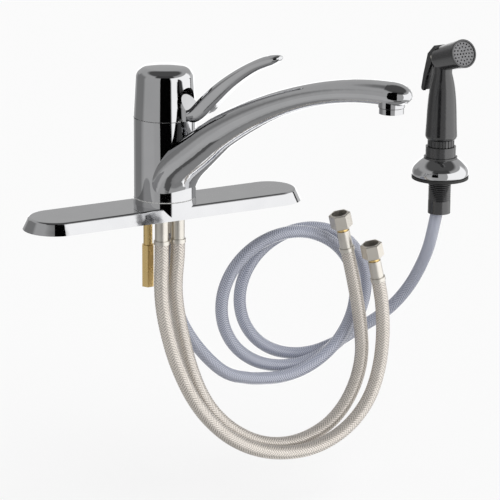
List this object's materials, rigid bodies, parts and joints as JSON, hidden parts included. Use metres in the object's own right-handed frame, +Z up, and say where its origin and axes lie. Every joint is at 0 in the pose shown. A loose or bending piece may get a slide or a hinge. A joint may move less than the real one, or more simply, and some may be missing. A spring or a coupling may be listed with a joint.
{
  "type": "side spray kitchen faucet",
  "caption": "Single-lever kitchen faucet on a deck plate, with a swinging spout, domed lever handle, braided supply hoses and a separate pull-up side spray on a coiled hose",
  "frame": {"origin": "centre of the deck plate, in the plane of the deck that the faucet and the side spray stand on", "axes": "+X runs along the deck plate towards the side spray, -Y faces the user and the sink, +Z is up"},
  "size_m": [0.4414, 0.2867, 0.4002],
  "materials": {
    "chrome": "polished plating",
    "steel": "satin steel",
    "nickel": "plated, slightly warm",
    "brass": "bare machined brass",
    "rubber": "matt black rubber",
    "black_plastic": "glossy black moulding",
    "white_plastic": "off-white engineering plastic",
    "ceramic": "lapped ceramic",
    "braid": "fine braided sheath over a tube",
    "hose": "fine grey-blue braided sheath",
    "nozzle": "grey moulded face"
  },
  "bodies": {
    "base": {"deck_plate": "chrome", "deck_gasket": "rubber", "valve_body": "brass", "spout_o_rings": "rubber", "lower_swivel_ring": "white_plastic", "upper_swivel_ring": "white_plastic", "cartridge_housing": "white_plastic", "cartridge_base": "white_plastic", "cartridge_seals": "rubber", "fixed_disc": "ceramic", "bonnet_nut": "chrome", "diverter_spring": "steel", "mounting_stud": "brass", "mounting_nut": "brass", "supply_hose_left": "braid", "supply_hose_right": "braid", "spray_outlet_nipple": "brass", "spray_outlet_ferrule": "steel", "spray_hose_tail": "hose", "spray_hose_coil": "hose", "spray_hose_upper": "hose", "spray_gasket": "rubber", "spray_escutcheon": "chrome", "spray_holder": "black_plastic", "supply_stem_left": "brass", "supply_top_ferrule_left": "steel", "supply_end_ferrule_left": "steel", "supply_end_stem_left": "brass", "supply_seal_left": "rubber", "supply_stem_right": "brass", "supply_top_ferrule_right": "steel", "supply_end_ferrule_right": "steel", "supply_end_stem_right": "brass", "supply_seal_right": "rubber"},
    "spout": {"spout": "chrome", "aerator_housing": "chrome", "aerator_insert": "white_plastic", "aerator_washer": "rubber"},
    "handle": {"handle_dome": "chrome", "dome_carrier": "white_plastic", "cartridge_spindle": "white_plastic", "pivot_pin": "steel"},
    "lever": {"handle_lever": "chrome", "cartridge_stem": "brass", "set_screw": "steel"},
    "disc_slider": {"moving_disc": "ceramic", "disc_carrier": "white_plastic"},
    "diverter": {"diverter_piston": "white_plastic"},
    "sprayer": {"sprayer_body": "black_plastic", "sprayer_coupling": "black_plastic", "sprayer_face_ring": "black_plastic", "sprayer_nozzle": "nozzle", "trigger_pin": "steel", "spray_hose_stub": "hose"},
    "trigger": {"sprayer_trigger": "black_plastic"},
    "sprayer_valve": {"sprayer_valve_stem": "brass", "sprayer_valve_spring": "steel"},
    "nut_left": {"supply_nut_left": "nickel"},
    "nut_right": {"supply_nut_right": "nickel"}
  },
  "joints": [
    {"name": "spout_swing", "type": "hinge", "parent": "base", "child": "spout", "pos_m": [0, 0, 0.05], "axis": [0, 0, 1], "range_deg": [-82, 38]},
    {"name": "handle_turn", "type": "hinge", "parent": "base", "child": "handle", "pos_m": [0, 0, 0.088], "axis": [0, 0, 1], "range_deg": [-67, 23]},
    {"name": "lever_lift", "type": "hinge", "parent": "handle", "child": "lever", "pos_m": [0, 0, 0.088], "axis": [-0.9272, -0.3746, 0], "range_deg": [0, 18]},
    {"name": "disc_slide", "type": "slide", "parent": "handle", "child": "disc_slider", "axis": [0.3746, -0.9272, 0], "range_m": [0, 0.0045]},
    {"name": "diverter_slide", "type": "slide", "parent": "base", "child": "diverter", "axis": [0, 0, 1], "range_m": [0, 0.005], "stiffness_N_per_m": 60, "springref_m": -0.003, "deforming": ["diverter_spring"]},
    {"name": "sprayer_lift", "type": "slide", "parent": "base", "child": "sprayer", "axis": [0, 0, 1], "range_m": [0, 0.034]},
    {"name": "trigger_press", "type": "hinge", "parent": "sprayer", "child": "trigger", "pos_m": [0.282, 0.0002, 0.1122], "axis": [-1, 0, 0], "range_deg": [0, 9]},
    {"name": "valve_push", "type": "slide", "parent": "sprayer", "child": "sprayer_valve", "axis": [0, -1, 0], "range_m": [0, 0.0012], "stiffness_N_per_m": 150, "springref_m": -0.004},
    {"name": "nut_left_spin", "type": "hinge", "parent": "base", "child": "nut_left", "pos_m": [0.20415, -0.017, -0.05707], "axis": [-0.2391, 0, 0.971], "continuous": true},
    {"name": "nut_right_spin", "type": "hinge", "parent": "base", "child": "nut_right", "pos_m": [0.17868, -0.003, -0.02886], "axis": [-0.2514, 0, 0.9679], "continuous": true}
  ],
  "couplings": [
    {"joint": "disc_slide", "follows": "lever_lift", "m_per_rad": 0.0134},
    {"joint": "trigger_press", "follows": "valve_push", "rad_per_m": 129.87}
  ]
}
